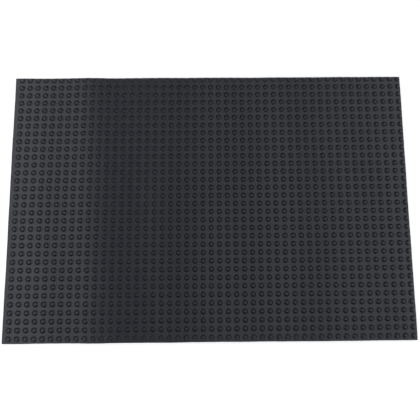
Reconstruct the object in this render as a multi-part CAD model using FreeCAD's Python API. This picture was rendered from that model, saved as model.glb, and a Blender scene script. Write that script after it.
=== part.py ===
"""Studded rubber door mat: two vulcanised plies with a square array of low round studs.

Millimetres, +Z up. The origin is on the floor under the middle of the mat. +X runs along the
long side and +Y along the short side. Studs are counted in rows along X, from the +Y edge.
"""

import FreeCAD, Part
import os

# Driving dimensions
MAT_LENGTH = 914.0  # along X, nominally 36 inches
MAT_WIDTH = 610.0  # along Y, nominally 24 inches
BACKING_THICKNESS = 3.25
WEAR_THICKNESS = 3.25
STUD_HEIGHT = 3.0
STUD_FOOT_RADIUS = 6.8
STUD_TOP_RADIUS = 2.6
STUD_SHOULDER_RADIUS = 4.0  # where the flank turns over towards the flat top
STUD_SHOULDER_HEIGHT = 2.4

COLUMN_PITCH = 18.55  # centre to centre along X
ROW_PITCH = 18.50  # centre to centre along Y
COLUMNS = 49
ROWS = 33
FIRST_COLUMN_MARGIN = 16.0  # from the -X edge to the first column, half way up the mat
FIRST_ROW_MARGIN = 7.0  # from the +Y edge to the first row
CUT_SKEW = 0.0036  # the mat was cut from a roll this much out of square with its studs

SHEET_TOP = BACKING_THICKNESS + WEAR_THICKNESS


def sheet(z_low, thickness):
    """A rectangular ply of the mat's full outline."""
    corner = FreeCAD.Vector(-MAT_LENGTH / 2, -MAT_WIDTH / 2, z_low)
    return Part.makeBox(MAT_LENGTH, MAT_WIDTH, thickness, corner)


def stud_at_origin():
    """A button of revolution, its foot on the XY plane: flank, chamfered shoulder, flat top."""
    outline = [
        (0.0, 0.0),
        (STUD_FOOT_RADIUS, 0.0),
        (STUD_SHOULDER_RADIUS, STUD_SHOULDER_HEIGHT),
        (STUD_TOP_RADIUS, STUD_HEIGHT),
        (0.0, STUD_HEIGHT),
        (0.0, 0.0),
    ]
    profile = Part.makePolygon([FreeCAD.Vector(radius, 0, height) for radius, height in outline])
    return Part.Face(profile).revolve(FreeCAD.Vector(0, 0, 0), FreeCAD.Vector(0, 0, 1), 360)


def stud_centre(row, column):
    """Where a stud's axis meets the top of the sheet."""
    y = MAT_WIDTH / 2 - FIRST_ROW_MARGIN - row * ROW_PITCH
    x = -MAT_LENGTH / 2 + FIRST_COLUMN_MARGIN + column * COLUMN_PITCH + CUT_SKEW * y
    return FreeCAD.Vector(x, y, SHEET_TOP)


def crosses_cut_edge(centre):
    """Whether the knife that cut the mat out of its roll went through this stud."""
    return (
        abs(centre.x) + STUD_FOOT_RADIUS > MAT_LENGTH / 2
        or abs(centre.y) + STUD_FOOT_RADIUS > MAT_WIDTH / 2
    )


def stud_row(row, stud, outline):
    """One row of separate studs, trimmed where the cut edge passes through them."""
    studs = []
    for column in range(COLUMNS):
        centre = stud_centre(row, column)
        placed = stud.translated(centre)
        if crosses_cut_edge(centre):
            placed = placed.common(outline).Solids[0]
        studs.append(placed)
    return Part.makeCompound(studs)


def export(shape, node):
    shape.exportStep(f"parts/{node}.step")


def main():
    os.makedirs("parts", exist_ok=True)
    export(sheet(0.0, BACKING_THICKNESS), "backing_sheet")
    export(sheet(BACKING_THICKNESS, WEAR_THICKNESS), "wear_sheet")

    stud = stud_at_origin()
    outline = sheet(SHEET_TOP, STUD_HEIGHT)
    for row in range(ROWS):
        export(stud_row(row, stud, outline), f"stud_row_{row + 1:02d}")


main()
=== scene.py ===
"""The looks of a studded rubber door mat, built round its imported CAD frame.

Metres, in the CAD's own frame: the mat's underside is on z = 0, +X runs along its long side and
+Y along its short side. The studs are counted in rows along X, from the +Y edge.
"""

import math

import bpy
import numpy as np
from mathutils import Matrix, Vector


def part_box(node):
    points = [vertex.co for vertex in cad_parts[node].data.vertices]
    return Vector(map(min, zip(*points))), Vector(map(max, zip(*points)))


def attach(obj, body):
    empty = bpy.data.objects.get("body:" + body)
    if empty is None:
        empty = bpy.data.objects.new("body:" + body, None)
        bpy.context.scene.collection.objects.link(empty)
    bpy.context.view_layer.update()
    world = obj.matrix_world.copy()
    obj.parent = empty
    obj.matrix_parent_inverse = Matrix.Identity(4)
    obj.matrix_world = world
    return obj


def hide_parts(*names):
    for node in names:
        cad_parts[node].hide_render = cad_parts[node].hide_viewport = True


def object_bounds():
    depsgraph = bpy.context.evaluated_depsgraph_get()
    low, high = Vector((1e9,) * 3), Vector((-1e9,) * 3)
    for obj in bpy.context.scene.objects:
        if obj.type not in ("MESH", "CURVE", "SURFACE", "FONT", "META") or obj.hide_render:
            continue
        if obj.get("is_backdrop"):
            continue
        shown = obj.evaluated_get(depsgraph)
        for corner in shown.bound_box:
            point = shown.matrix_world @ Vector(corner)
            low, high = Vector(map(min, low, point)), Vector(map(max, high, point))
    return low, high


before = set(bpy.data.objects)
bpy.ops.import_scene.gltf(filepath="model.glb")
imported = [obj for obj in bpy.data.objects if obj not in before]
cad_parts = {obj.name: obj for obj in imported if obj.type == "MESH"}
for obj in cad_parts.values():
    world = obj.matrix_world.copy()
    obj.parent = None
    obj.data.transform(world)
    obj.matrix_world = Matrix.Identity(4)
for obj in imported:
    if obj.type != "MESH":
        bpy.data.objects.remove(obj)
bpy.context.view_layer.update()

BODY = "root"
MM = 0.001
FULL_TURN = 2 * math.pi
ROWS = sorted(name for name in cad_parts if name.startswith("stud_row_"))

# The mat's own sizes: its outline and plies from the frame, its stud array as in the CAD
LOW, HIGH = (np.array(corner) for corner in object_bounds())
BACKING_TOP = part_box("backing_sheet")[1].z
SHEET_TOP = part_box("wear_sheet")[1].z
COLUMN_PITCH = 18.55 * MM
ROW_PITCH = 18.50 * MM
COLUMNS = 49
FIRST_COLUMN_MARGIN = 16.0 * MM
FIRST_ROW_MARGIN = 7.0 * MM
CUT_SKEW = 0.0036  # how far out of square with the studs the mat was cut

# Half of a stud's section, from its flat top down to its foot: radius, height in mm
STUD_PROFILE = (
    (1.2, 3.00), (2.1, 3.00), (2.6, 2.965), (3.0, 2.87), (3.4, 2.70), (3.8, 2.44), (4.3, 2.02),
    (4.9, 1.46), (5.5, 0.90), (5.95, 0.52), (6.35, 0.26), (6.75, 0.10), (7.1, 0.02), (7.45, -0.05),
)
STUD_HEIGHT = STUD_PROFILE[0][1] * MM
STUD_SUNK = 0.5 * MM  # how far a stud's closed base lies under the tread
STUD_SIDES = 28
STUD_SPREAD = 0.012  # how much studs differ in width, as a share
STUD_SEED = 100

# How the mat was cut, and how round its rims are
KNIFE_WANDER = 1.1 * MM
KNIFE_WAVES = (0.41, 0.17, 0.083, 0.031, 0.012, 0.0057)
LEFT_CUT, RIGHT_CUT, FRONT_CUT, BACK_CUT = 1, 2, 3, 4  # seeds, so that each edge has its own wander
EDGE_ROUND = 0.35 * MM  # upper rim
SEAM_ROUND = 0.12 * MM  # both sides of the line between the plies
UNDER_ROUND = 0.2 * MM  # lower rim
CELL = 9 * MM  # spacing of the plies' own mesh
RIM_CELL = 0.8 * MM  # its first cell beside a cut edge, which keeps the edge crisp

# What the mat remembers of its roll; places are x, half way up the mat
RIDGE = 2.2 * MM  # height of the crest left where its outer turn was creased
RIDGE_PLACE = -0.271
RIDGE_WIDTH = 0.040
TURN = 0.9 * MM  # height of the low waves left by the roll's other turns
TURN_LENGTH = 0.145
TURN_CREST = 0.171  # one of their crests
TURN_SLANT = 0.05  # how far ridge and waves run out of square with the cut
FLATTER_SHARE = 0.25  # how much of their height the waves keep on the left
FLATTER_PLACE, FLATTER_WIDTH = 0.02, 0.05  # where that begins, and how gently
SHEEN_BAND_LINE = 0.152  # one line where a painted band of sheen is lightest: the bloom peaks there and again every TURN_LENGTH

# On the tread, CLEAN_RUBBER on the stud flanks, where bloom is held off, stands for painted shade
CLEAN_RUBBER = (0.0106, 0.0114, 0.0180, 1)
BLOOM_RUBBER = (0.0320, 0.0332, 0.0405, 1)
STUD_TOP_BLOOM = 0.50
DUST = (0.085, 0.084, 0.082, 1)
CLOTH_THREAD = 1.1 * MM  # of the cloth that the underside was cured against

CAMERA_PLACE = (-0.0041, -0.1002, 0.8011)
CAMERA_TURN = (6.282, -0.343, -0.458)  # degrees
LENS, SENSOR = 30.0, 36

FLOOR_HALF = 6.0
FLOOR_DROP = 0.2 * MM
FLOOR_PAINT = (0.86, 0.86, 0.86, 1)
FLOOR_GLOW = 0.6
SURROUND_RADIUS = 5.8
SURROUND_GLOW = 0.66  # as bright as the far floor, so that no horizon shows
WORLD_TINT = (0.9, 0.95, 1.0, 1)
WORLD_GLOW = 0.07
STUDIO_TINT = (0.93, 0.96, 1.0)
# Soft panels overhead: x and y of two corners, height and glow
PANELS = {
    "panel_left": ((-1.3, -1.0), (-0.58, 1.2), 0.8, 1.36),
    "panel_middle": ((-0.40, -2.2), (1.6, 2.6), 2.2, 0.68),
    "panel_right": ((1.25, -2.2), (3.1, 2.0), 1.45, 1.15),
}


def smooth_noise(x, seed, wavelengths):
    """A sum of sines of those wavelengths, about -1 to 1, the same on every run."""
    rng = np.random.default_rng(seed)
    total = np.zeros_like(np.asarray(x, float))
    for length in wavelengths:
        total += math.sqrt(length) * np.sin(FULL_TURN * (x / length + rng.random()))
    return total / sum(math.sqrt(length) for length in wavelengths)


def knife_inset(along, cut):
    """How far inside its nominal line the knife ran, at distances along an edge."""
    wander = smooth_noise(along, cut, KNIFE_WAVES)
    return KNIFE_WANDER * (0.5 + 0.5 * wander)


def outline(x, y):
    """The cut edges beside points of the mat: left and right as x, front and back as y."""
    left = LOW[0] + knife_inset(y, LEFT_CUT)
    right = HIGH[0] - knife_inset(y, RIGHT_CUT)
    front = LOW[1] + knife_inset(x, FRONT_CUT)
    back = HIGH[1] - knife_inset(x, BACK_CUT)
    return left, right, front, back


def lift(x, y):
    """Height of the mat's underside off the floor: it keeps a slight memory of its roll."""
    slanted = x + TURN_SLANT * y
    ridge = np.exp(-(((slanted - RIDGE_PLACE) / RIDGE_WIDTH) ** 2))
    turns = 0.5 + 0.5 * np.cos(FULL_TURN * (slanted - TURN_CREST) / TURN_LENGTH)
    full = 1 / (1 + np.exp(-(x - FLATTER_PLACE) / FLATTER_WIDTH))
    height = TURN * (FLATTER_SHARE + (1 - FLATTER_SHARE) * full)
    return RIDGE * ridge + height * turns * (1 - ridge)


def make_mesh(name, points, faces, smooth=True):
    """A mesh object from an array of points and a list of faces."""
    mesh = bpy.data.meshes.new(name)
    mesh.from_pydata(points.tolist(), [], faces)
    mesh.validate()
    mesh.polygons.foreach_set("use_smooth", [smooth] * len(mesh.polygons))
    mesh.update()
    piece = bpy.data.objects.new(name, mesh)
    bpy.context.scene.collection.objects.link(piece)
    return piece


def grid_lines(low, high):
    """Shares from 0 to 1 of the span from low to high: even cells between two thin rim cells."""
    rim = RIM_CELL / (high - low)
    inner = np.linspace(rim, 1 - rim, int(round((high - low) / CELL)) + 1)
    return np.concatenate([[0], inner, [1]])


def sheet_layer(u, v, inset):
    """x and y of a whole grid inside the cut edges, inset from them all round."""
    nominal_x = LOW[0] + u * (HIGH[0] - LOW[0])
    nominal_y = LOW[1] + v * (HIGH[1] - LOW[1])
    left, right, front, back = outline(nominal_x, nominal_y)
    x = left + inset + u * (right - left - 2 * inset)
    y = front + inset + v * (back - front - 2 * inset)
    return x, y


def lifted(x, y, z):
    """Those points of the flat mat as rows of x, y and z, where the mat's own lie puts them."""
    return np.column_stack([x, y, z + lift(x, y)])


def rim_indices(nu, nv):
    """The grid's border points in order, anticlockwise seen from above."""
    front = [(i, 0) for i in range(nu - 1)]
    right = [(nu - 1, j) for j in range(nv - 1)]
    back = [(i, nv - 1) for i in range(nu - 1, 0, -1)]
    left = [(0, j) for j in range(nv - 1, 0, -1)]
    return [j * nu + i for i, j in front + right + back + left]


def grid_faces(nu, nv):
    """The quads of a grid of nu by nv points, facing up."""
    return [(j * nu + i, j * nu + i + 1, (j + 1) * nu + i + 1, (j + 1) * nu + i)
            for j in range(nv - 1) for i in range(nu - 1)]


def wall_faces(upper, lower):
    """The quads between two closed rings of points, the same number in each."""
    count = len(upper)
    return [(upper[k], lower[k], lower[(k + 1) % count], upper[(k + 1) % count])
            for k in range(count)]


def ply(name, z_low, z_high, edge_low, edge_high):
    """A closed rubber sheet with knife-cut sides; edge_low and edge_high round its two rims."""
    across = grid_lines(LOW[0], HIGH[0])
    along = grid_lines(LOW[1], HIGH[1])
    u, v = (g.ravel() for g in np.meshgrid(across, along))
    nu, nv = len(across), len(along)
    rim = rim_indices(nu, nv)

    top = lifted(*sheet_layer(u, v, edge_high), z_high)
    bottom = lifted(*sheet_layer(u, v, edge_low), z_low)
    side_heights = (z_high - edge_high, (z_low + z_high) / 2, z_low + edge_low)
    full_x, full_y = sheet_layer(u[rim], v[rim], 0)
    side_rings = [lifted(full_x, full_y, z) for z in side_heights]
    points = np.vstack([top, bottom] + side_rings)

    cells = grid_faces(nu, nv)
    under = nu * nv
    faces = cells + [tuple(under + k for k in reversed(cell)) for cell in cells]

    count = len(rim)
    bands = [rim]
    for ring in range(len(side_rings)):
        start = 2 * under + ring * count
        bands.append(list(range(start, start + count)))
    bands.append([under + k for k in rim])
    for upper, lower in zip(bands, bands[1:]):
        faces += wall_faces(upper, lower)
    return make_mesh(name, points, faces)


def stud_template():
    """Points of one stud round its own axis, z measured from the tread, and its faces."""
    turn = np.arange(STUD_SIDES) * FULL_TURN / STUD_SIDES
    rings = [np.column_stack([r * MM * np.cos(turn), r * MM * np.sin(turn),
                              np.full(STUD_SIDES, z * MM)]) for r, z in STUD_PROFILE]
    base = rings[-1].copy()
    base[:, 2] = -STUD_SUNK
    rings.append(base)
    points = np.vstack([(0, 0, STUD_HEIGHT)] + rings + [(0, 0, -STUD_SUNK)])

    bands = [[1 + ring * STUD_SIDES + k for k in range(STUD_SIDES)] for ring in range(len(rings))]
    faces = [(0, bands[0][k], bands[0][(k + 1) % STUD_SIDES]) for k in range(STUD_SIDES)]
    for upper, lower in zip(bands, bands[1:]):
        faces += wall_faces(upper, lower)
    faces += [(len(points) - 1, bands[-1][(k + 1) % STUD_SIDES], bands[-1][k])
              for k in range(STUD_SIDES)]
    return points, faces


def stud_row(node, row, template, template_faces):
    """The studs of one row as one piece, trimmed where the knife ran through them."""
    rng = np.random.default_rng(STUD_SEED + row)
    centre_y = HIGH[1] - FIRST_ROW_MARGIN - row * ROW_PITCH
    first_x = LOW[0] + FIRST_COLUMN_MARGIN + CUT_SKEW * centre_y
    clouds, faces = [], []
    for column in range(COLUMNS):
        size = 1 + STUD_SPREAD * rng.standard_normal()
        centre = (first_x + column * COLUMN_PITCH, centre_y, SHEET_TOP)
        clouds.append(template * (size, size, 1) + centre)
        first = column * len(template)
        faces += [tuple(first + k for k in face) for face in template_faces]
    points = np.vstack(clouds)
    left, right, front, back = outline(points[:, 0], points[:, 1])
    x = np.clip(points[:, 0], left + EDGE_ROUND, right - EDGE_ROUND)
    y = np.clip(points[:, 1], front + EDGE_ROUND, back - EDGE_ROUND)
    height = (points[:, 2] - SHEET_TOP) / STUD_HEIGHT
    piece = make_mesh(node + "_studs", lifted(x, y, points[:, 2]), faces)
    attribute = piece.data.attributes.new("stud_height", "FLOAT", "POINT")
    attribute.data.foreach_set("value", np.clip(height, 0, 1).astype(np.float32))
    return piece


class Nodes:
    """Short calls for building one material's node tree."""

    def __init__(self, name):
        self.material = bpy.data.materials.new(name)
        self.material.use_nodes = True
        self.tree = self.material.node_tree
        self.tree.nodes.clear()
        output = self.tree.nodes.new("ShaderNodeOutputMaterial")
        self.shader = self.tree.nodes.new("ShaderNodeBsdfPrincipled")
        self.link(self.shader.outputs["BSDF"], output.inputs["Surface"])
        self.place = self.tree.nodes.new("ShaderNodeTexCoord").outputs["Object"]

    def link(self, source, target):
        self.tree.links.new(source, target)

    def feed(self, value, socket):
        """Link value to the socket if it is another node's output, or else set it there."""
        if isinstance(value, bpy.types.NodeSocket):
            self.link(value, socket)
        else:
            socket.default_value = value

    def math(self, operation, a, b=0.0, c=0.0):
        node = self.tree.nodes.new("ShaderNodeMath")
        node.operation = operation
        for value, socket in zip((a, b, c), node.inputs):
            self.feed(value, socket)
        return node.outputs[0]

    def stretched(self, scale):
        """The place on the mat with x, y and z each scaled for a texture."""
        node = self.tree.nodes.new("ShaderNodeMapping")
        self.link(self.place, node.inputs["Vector"])
        node.inputs["Scale"].default_value = scale
        return node.outputs["Vector"]

    def noise(self, scale, detail=3.0, roughness=0.5, where=None):
        node = self.tree.nodes.new("ShaderNodeTexNoise")
        self.link(self.place if where is None else where, node.inputs["Vector"])
        node.inputs["Scale"].default_value = scale
        node.inputs["Detail"].default_value = detail
        node.inputs["Roughness"].default_value = roughness
        return node.outputs["Fac"]

    def ramp(self, value, low, high, out_low, out_high):
        """From out_low to out_high while value goes from low to high, eased at both ends."""
        node = self.tree.nodes.new("ShaderNodeMapRange")
        node.interpolation_type = "SMOOTHSTEP"
        for v, socket in zip((value, low, high, out_low, out_high), node.inputs):
            self.feed(v, socket)
        return node.outputs["Result"]

    def mix(self, amount, first, second):
        """A colour between first and second, through the mix node's own colour sockets."""
        node = self.tree.nodes.new("ShaderNodeMix")
        node.data_type = "RGBA"
        self.feed(amount, node.inputs["Factor"])
        for value, socket in ((first, node.inputs[6]), (second, node.inputs[7])):
            self.feed(value, socket)
        return node.outputs[2]

    def attribute(self, name):
        node = self.tree.nodes.new("ShaderNodeAttribute")
        node.attribute_name = name
        return node.outputs["Fac"]

    def parts(self, vector):
        """The x, y and z sockets of a vector."""
        split = self.tree.nodes.new("ShaderNodeSeparateXYZ")
        self.link(vector, split.inputs[0])
        return split.outputs

    def facing_up(self):
        """How far the surface faces up, 1 on the flat and 0 on a wall."""
        geometry = self.tree.nodes.new("ShaderNodeNewGeometry")
        return self.parts(geometry.outputs["Normal"])["Z"]

    def painted_sheen_bands(self):
        """A wave from -1 to 1 across the mat, one for each turn of the roll's waves, that paints
        bands of sheen into the bloom.
        """
        place = self.parts(self.place)
        slanted = self.math("MULTIPLY_ADD", place["Y"], TURN_SLANT, place["X"])
        turns = self.math("DIVIDE", self.math("SUBTRACT", slanted, SHEEN_BAND_LINE), TURN_LENGTH)
        return self.math("COSINE", self.math("MULTIPLY", turns, FULL_TURN))

    def bump(self, height, distance, strength=1.0, after=None):
        """A normal tilted by height, on top of the one from an earlier bump."""
        node = self.tree.nodes.new("ShaderNodeBump")
        node.inputs["Strength"].default_value = strength
        node.inputs["Distance"].default_value = distance
        self.link(height, node.inputs["Height"])
        if after is not None:
            self.link(after, node.inputs["Normal"])
        return node.outputs["Normal"]


def bloom_amount(n, flat, mottled):
    """How much grey bloom shows: most on the field, less on rubbed stud tops, and none on the
    flanks, which paints shade on them as darker clean rubber.
    """
    rubbed = n.ramp(n.attribute("stud_height"), 0.02, 0.5, 1.0, STUD_TOP_BLOOM)
    broad = n.noise(1.0, 3.0, 0.55, where=n.stretched((9.0, 2.2, 9.0)))
    # painted sheen: the bloom is lighter in bands across the mat, one per roll wave
    broad = n.math("MULTIPLY_ADD", n.painted_sheen_bands(), 0.17, broad)
    # painted shade: the flat mask keeps bloom off the stud flanks, so they show darker
    amount = n.math("MULTIPLY", flat, rubbed)
    amount = n.math("MULTIPLY", amount, n.ramp(broad, 0.25, 0.75, 0.56, 1.0))
    return n.math("MULTIPLY", amount, n.ramp(mottled, 0.3, 0.7, 0.84, 1.0))


def dust_amount(n, flat, mottled):
    """Fine dust in the grain and a few shoe scuffs, on what faces up."""
    fine = n.ramp(n.noise(1500.0, 3.0, 0.6), 0.54, 0.70, 0.0, 0.34)
    fine = n.math("MULTIPLY", fine, n.ramp(mottled, 0.35, 0.65, 0.4, 1.0))
    along = n.noise(1.0, 3.0, 0.6, where=n.stretched((38.0, 520.0, 60.0)))
    across = n.noise(1.0, 3.0, 0.6, where=n.stretched((430.0, 30.0, 60.0)))
    scuffs = n.ramp(n.math("MAXIMUM", along, across), 0.66, 0.76, 0.0, 0.20)
    return n.math("MULTIPLY", n.math("MAXIMUM", fine, scuffs), flat)


def rubber_relief(n, side):
    """Moulded grain all over, and the knife's fine drag lines down the cut sides."""
    grain = n.bump(n.noise(900.0, 5.0, 0.7), 0.30 * MM, 0.75)
    swells = n.bump(n.noise(210.0, 2.0, 0.5), 0.06 * MM, 0.3, after=grain)
    drag = n.noise(1.0, 2.0, 0.6, where=n.stretched((1500.0, 1500.0, 90.0)))
    return n.bump(n.math("MULTIPLY", drag, side), 0.18 * MM, 0.8, after=swells)


def tread_material():
    """Moulded black rubber with grey bloom, dust and scuffs on the field between the studs; the
    bloom also carries painted bands of sheen, and its absence paints shade on the stud flanks.
    """
    n = Nodes("tread_rubber")
    up = n.facing_up()
    flat = n.ramp(up, 0.70, 0.99, 0.0, 1.0)
    side = n.ramp(up, 0.10, 0.40, 1.0, 0.0)
    mottled = n.noise(95.0, 4.0, 0.6)
    colour = n.mix(bloom_amount(n, flat, mottled), CLEAN_RUBBER, BLOOM_RUBBER)
    colour = n.mix(dust_amount(n, flat, mottled), colour, DUST)
    n.link(colour, n.shader.inputs["Base Color"])
    sheen = n.ramp(mottled, 0.2, 0.8, 0.27, 0.35)
    n.link(n.math("MULTIPLY_ADD", side, 0.25, sheen), n.shader.inputs["Roughness"])
    n.shader.inputs["Specular IOR Level"].default_value = 0.5
    n.shader.inputs["IOR"].default_value = 1.5
    n.link(rubber_relief(n, side), n.shader.inputs["Normal"])
    return n.material


def cloth_print(n):
    """The fine print of a plain-woven cloth, and a little grain over it."""
    place = n.parts(n.place)
    warp = n.math("SINE", n.math("MULTIPLY", place["X"], FULL_TURN / CLOTH_THREAD))
    weft = n.math("SINE", n.math("MULTIPLY", place["Y"], FULL_TURN / CLOTH_THREAD))
    weave = n.bump(n.math("MULTIPLY", warp, weft), 0.12 * MM, 0.6)
    return n.bump(n.noise(1200.0, 2.0, 0.5), 0.05 * MM, 0.4, after=weave)


def backing_material():
    """The underside: the same rubber with the print of the cloth it was cured against."""
    n = Nodes("backing_rubber")
    mottled = n.noise(70.0, 4.0, 0.6)
    bloom = n.ramp(mottled, 0.3, 0.7, 0.2, 0.8)
    n.link(n.mix(bloom, CLEAN_RUBBER, BLOOM_RUBBER), n.shader.inputs["Base Color"])
    n.link(n.ramp(mottled, 0.2, 0.8, 0.55, 0.68), n.shader.inputs["Roughness"])
    n.shader.inputs["Specular IOR Level"].default_value = 0.4
    n.link(cloth_print(n), n.shader.inputs["Normal"])
    return n.material


def plain(name, colour, glow):
    """A plain stage material: a pale surface that also gives off a little light of its own."""
    n = Nodes(name)
    n.shader.inputs["Base Color"].default_value = colour
    n.shader.inputs["Roughness"].default_value = 0.9
    n.shader.inputs["Specular IOR Level"].default_value = 0.0
    n.shader.inputs["Emission Color"].default_value = (1, 1, 1, 1)
    n.shader.inputs["Emission Strength"].default_value = glow
    return n.material


def add_camera():
    """The photograph's viewpoint: 0.8 m above the mat, from a little in front of its middle."""
    data = bpy.data.cameras.new("camera")
    data.lens = LENS
    data.sensor_width = SENSOR
    camera = bpy.data.objects.new("camera", data)
    camera.location = CAMERA_PLACE
    camera.rotation_euler = [math.radians(angle) for angle in CAMERA_TURN]
    bpy.context.scene.collection.objects.link(camera)
    bpy.context.scene.camera = camera


def softbox(name, low, high, height, glow):
    """A flat soft light overhead, facing down, over the rectangle from low to high in x and y."""
    data = bpy.data.lights.new(name, "AREA")
    data.shape = "RECTANGLE"
    data.size, data.size_y = high[0] - low[0], high[1] - low[1]
    data.energy = glow * math.pi * data.size * data.size_y
    data.color = STUDIO_TINT
    light = bpy.data.objects.new(name, data)
    light.location = ((low[0] + high[0]) / 2, (low[1] + high[1]) / 2, height)
    light.visible_camera = False
    bpy.context.scene.collection.objects.link(light)


def dome(name, radius, rings=12, sides=48):
    """A hemisphere over the floor, seen from inside."""
    points, bands = [], []
    for ring in range(rings + 1):
        rise = math.pi / 2 * ring / rings
        bands.append(list(range(ring * sides, (ring + 1) * sides)))
        for side in range(sides):
            turn = FULL_TURN * side / sides
            points.append((radius * math.cos(rise) * math.cos(turn),
                           radius * math.cos(rise) * math.sin(turn), radius * math.sin(rise)))
    faces = []
    for lower, upper in zip(bands, bands[1:]):
        faces += wall_faces(lower, upper)
    return make_mesh(name, np.array(points), faces)


def add_floor():
    """A plain pale floor just under the mat."""
    corners = np.array([[-1, -1, 0], [1, -1, 0], [1, 1, 0], [-1, 1, 0]]) * FLOOR_HALF
    floor = make_mesh("floor", corners - (0, 0, FLOOR_DROP), [(0, 1, 2, 3)], smooth=False)
    floor.data.materials.append(plain("floor_white", FLOOR_PAINT, FLOOR_GLOW))
    floor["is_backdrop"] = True


def add_surround():
    """A pale surround that only the camera sees, so it lights nothing and isn't reflected."""
    surround = dome("surround", SURROUND_RADIUS)
    surround.data.materials.append(plain("surround_white", (0, 0, 0, 1), SURROUND_GLOW))
    surround.visible_diffuse = False
    surround.visible_glossy = False
    surround.visible_transmission = False
    surround.visible_shadow = False
    surround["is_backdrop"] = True


def add_light():
    """A dim world and the soft panels, whose edges make the bands of sheen on the rubber."""
    world = bpy.data.worlds.new("studio")
    world.use_nodes = True
    world.node_tree.nodes["Background"].inputs["Color"].default_value = WORLD_TINT
    world.node_tree.nodes["Background"].inputs["Strength"].default_value = WORLD_GLOW
    bpy.context.scene.world = world
    for name, (low, high, height, glow) in PANELS.items():
        softbox(name, low, high, height, glow)
    bpy.context.scene.view_settings.view_transform = "Standard"
    bpy.context.scene.view_settings.look = "None"


def stand_for(piece, node, material):
    """Dress a piece and put it in the place of its CAD node."""
    piece.data.materials.append(material)
    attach(piece, BODY)
    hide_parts(node)


def build_mat():
    """The two plies and the rows of studs; the mat lies as one sheet on the floor."""
    tread = tread_material()
    wear = ply("wear_ply", BACKING_TOP, SHEET_TOP, SEAM_ROUND, EDGE_ROUND)
    stand_for(wear, "wear_sheet", tread)
    under = ply("backing_ply", LOW[2], BACKING_TOP, UNDER_ROUND, SEAM_ROUND)
    stand_for(under, "backing_sheet", backing_material())

    template, template_faces = stud_template()
    for row, node in enumerate(ROWS):
        piece = stud_row(node, row, template, template_faces)
        stand_for(piece, node, tread)


add_camera()
add_floor()
add_surround()
add_light()
build_mat()
